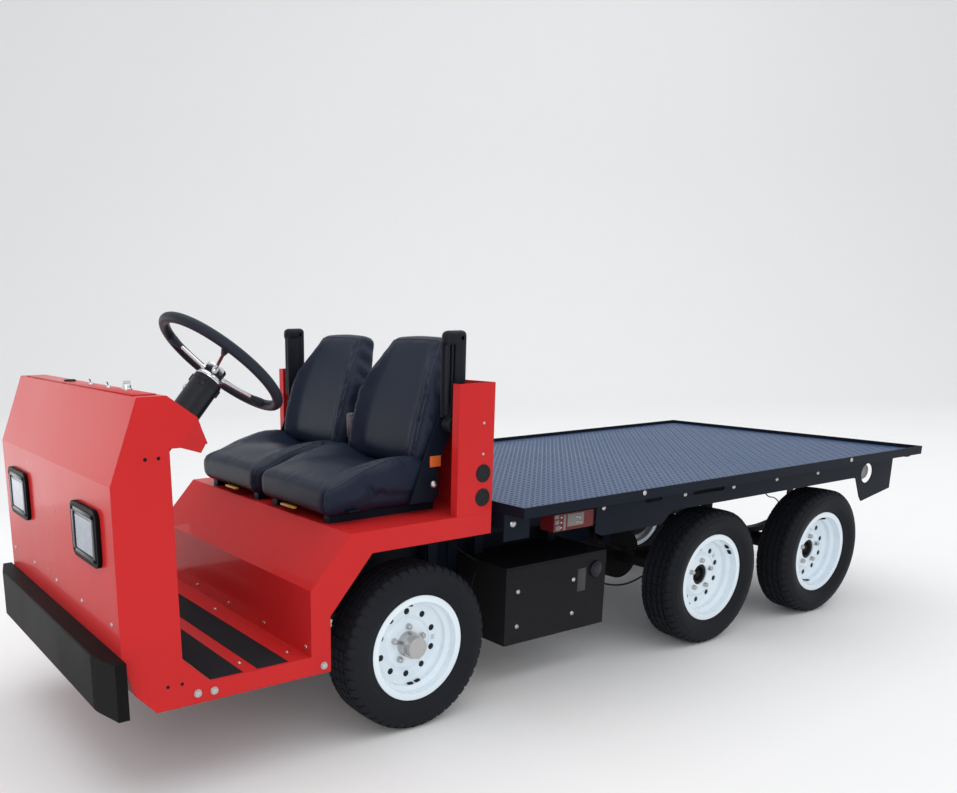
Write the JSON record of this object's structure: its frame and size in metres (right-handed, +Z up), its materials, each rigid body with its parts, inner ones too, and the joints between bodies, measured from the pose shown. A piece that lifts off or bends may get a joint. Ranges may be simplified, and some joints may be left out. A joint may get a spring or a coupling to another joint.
{
  "type": "six-wheeled burden carrier",
  "caption": "Low industrial burden carrier: open folded-steel cab with sliding seats, steered front axle, sprung tandem rear axles and a flat load deck.",
  "frame": {"origin": "on the ground at the centre of the vehicle's length and width", "axes": "+X to the vehicle's left, +Y to its rear, +Z up"},
  "size_m": [1.276, 3.635, 1.2809],
  "materials": {
    "red_paint": "glossy bright red enamel on folded steel sheet",
    "frame_paint": "satin black enamel",
    "deck_paint": "black painted chequered plate",
    "bumper_rubber": "moulded black rubber, bare of lettering",
    "lamp_frame": "black rubber surround",
    "lamp_lens": "clear ribbed lens",
    "seat_vinyl": "black upholstery vinyl with piped seams",
    "seat_steel": "black painted steel seat runners and brackets",
    "armrest_pad": "black moulded foam skin",
    "wheel_grip": "black moulded grip on a steel ring with polished spokes",
    "column_black": "black column housing",
    "steering_steel": "bare machined steel",
    "axle_steel": "black painted axle beams and tubes",
    "spring_steel": "dark spring leaves",
    "tyre_rubber": "black road tyre",
    "wheel_white": "white enamel on a pressed steel wheel",
    "box_plastic": "textured black box",
    "power_steel": "dark closed block",
    "module_red": "red and grey moulded module"
  },
  "bodies": {
    "chassis": {"chassis_rails": "frame_paint", "cross_members": "frame_paint", "side_skirts": "frame_paint", "deck_plate": "deck_paint", "deck_rim": "frame_paint", "body_sides": "red_paint", "cowl": "red_paint", "floor_and_seat_base": "red_paint", "back_wall": "red_paint", "bumper": "bumper_rubber", "headlight_frames": "lamp_frame", "headlight_lenses": "lamp_lens", "seat_tracks": "seat_steel", "steering_column": "column_black", "steering_gear": "axle_steel", "axles": "axle_steel", "springs": "spring_steel", "side_box": "box_plastic", "power_block": "power_steel", "breaker_module": "module_red"},
    "steering_wheel": {"steering_wheel": "wheel_grip"},
    "steering_shaft": {"steering_shaft": "steering_steel"},
    "pitman_arm": {"pitman_arm": "steering_steel"},
    "drag_link": {"drag_link": "steering_steel"},
    "track_rod": {"track_rod": "steering_steel"},
    "knuckle_left": {"knuckle_left": "axle_steel"},
    "knuckle_right": {"knuckle_right": "axle_steel"},
    "seat_left": {"seat_frame_left": "seat_steel", "seat_pads_left": "seat_vinyl"},
    "seat_right": {"seat_frame_right": "seat_steel", "seat_pads_right": "seat_vinyl"},
    "armrest_left": {"armrest_left": "armrest_pad"},
    "armrest_right": {"armrest_right": "armrest_pad"},
    "wheel_front_left": {"tyre_front_left": "tyre_rubber", "wheel_front_left": "wheel_white"},
    "wheel_middle_left": {"tyre_middle_left": "tyre_rubber", "wheel_middle_left": "wheel_white"},
    "wheel_rear_left": {"tyre_rear_left": "tyre_rubber", "wheel_rear_left": "wheel_white"},
    "wheel_front_right": {"tyre_front_right": "tyre_rubber", "wheel_front_right": "wheel_white"},
    "wheel_middle_right": {"tyre_middle_right": "tyre_rubber", "wheel_middle_right": "wheel_white"},
    "wheel_rear_right": {"tyre_rear_right": "tyre_rubber", "wheel_rear_right": "wheel_white"}
  },
  "joints": [
    {"name": "steer_left", "type": "hinge", "parent": "chassis", "child": "knuckle_left", "pos_m": [0.385, -0.812, 0.264], "axis": [0, 0, 1], "range_deg": [-30, 30]},
    {"name": "steer_right", "type": "hinge", "parent": "chassis", "child": "knuckle_right", "pos_m": [-0.385, -0.812, 0.264], "axis": [0, 0, 1], "range_deg": [-30, 30]},
    {"name": "track_rod_pivot", "type": "hinge", "parent": "knuckle_left", "child": "track_rod", "pos_m": [0.385, -0.682, 0.198], "axis": [0, 0, 1], "range_deg": [-30, 30]},
    {"name": "drag_link_pivot", "type": "hinge", "parent": "knuckle_left", "child": "drag_link", "pos_m": [0.22, -0.812, 0.198], "axis": [0, 0, 1], "range_deg": [-30, 30]},
    {"name": "pitman_pivot", "type": "hinge", "parent": "chassis", "child": "pitman_arm", "pos_m": [0.385, -1.6, 0.216], "axis": [0, 0, 1], "range_deg": [-30, 30]},
    {"name": "steering_wheel_turn", "type": "hinge", "parent": "chassis", "child": "steering_wheel", "pos_m": [0.29, -1.332, 1.14], "axis": [0, 0.66, 0.7513], "range_deg": [-450, 450]},
    {"name": "steering_shaft_turn", "type": "hinge", "parent": "chassis", "child": "steering_shaft", "pos_m": [0.29, -1.61602, 0.6], "axis": [0, 0, 1], "range_deg": [-450, 450]},
    {"name": "wheel_front_left_spin", "type": "hinge", "parent": "knuckle_left", "child": "wheel_front_left", "pos_m": [0.4735, -0.812, 0.264], "axis": [1, 0, 0], "continuous": true},
    {"name": "wheel_middle_left_spin", "type": "hinge", "parent": "chassis", "child": "wheel_middle_left", "pos_m": [0.4735, 0.605, 0.264], "axis": [1, 0, 0], "continuous": true},
    {"name": "wheel_rear_left_spin", "type": "hinge", "parent": "chassis", "child": "wheel_rear_left", "pos_m": [0.4735, 1.321, 0.264], "axis": [1, 0, 0], "continuous": true},
    {"name": "wheel_front_right_spin", "type": "hinge", "parent": "knuckle_right", "child": "wheel_front_right", "pos_m": [-0.4735, -0.812, 0.264], "axis": [1, 0, 0], "continuous": true},
    {"name": "wheel_middle_right_spin", "type": "hinge", "parent": "chassis", "child": "wheel_middle_right", "pos_m": [-0.4735, 0.605, 0.264], "axis": [1, 0, 0], "continuous": true},
    {"name": "wheel_rear_right_spin", "type": "hinge", "parent": "chassis", "child": "wheel_rear_right", "pos_m": [-0.4735, 1.321, 0.264], "axis": [1, 0, 0], "continuous": true},
    {"name": "seat_left_slide", "type": "slide", "parent": "chassis", "child": "seat_left", "axis": [0, 1, 0], "range_m": [-0.15, 0]},
    {"name": "armrest_left_fold", "type": "hinge", "parent": "seat_left", "child": "armrest_left", "pos_m": [0.478, -0.658, 0.936], "axis": [1, 0, 0], "range_deg": [0, 90]},
    {"name": "seat_right_slide", "type": "slide", "parent": "chassis", "child": "seat_right", "axis": [0, 1, 0], "range_m": [-0.15, 0]},
    {"name": "armrest_right_fold", "type": "hinge", "parent": "seat_right", "child": "armrest_right", "pos_m": [-0.478, -0.658, 0.936], "axis": [1, 0, 0], "range_deg": [0, 90]}
  ],
  "couplings": [
    {"joint": "steer_right", "follows": "steer_left", "ratio": 1},
    {"joint": "track_rod_pivot", "follows": "steer_left", "ratio": -1},
    {"joint": "drag_link_pivot", "follows": "steer_left", "ratio": -1},
    {"joint": "pitman_pivot", "follows": "steer_left", "ratio": 1},
    {"joint": "steering_wheel_turn", "follows": "steer_left", "ratio": 15},
    {"joint": "steering_shaft_turn", "follows": "steer_left", "ratio": 15}
  ]
}
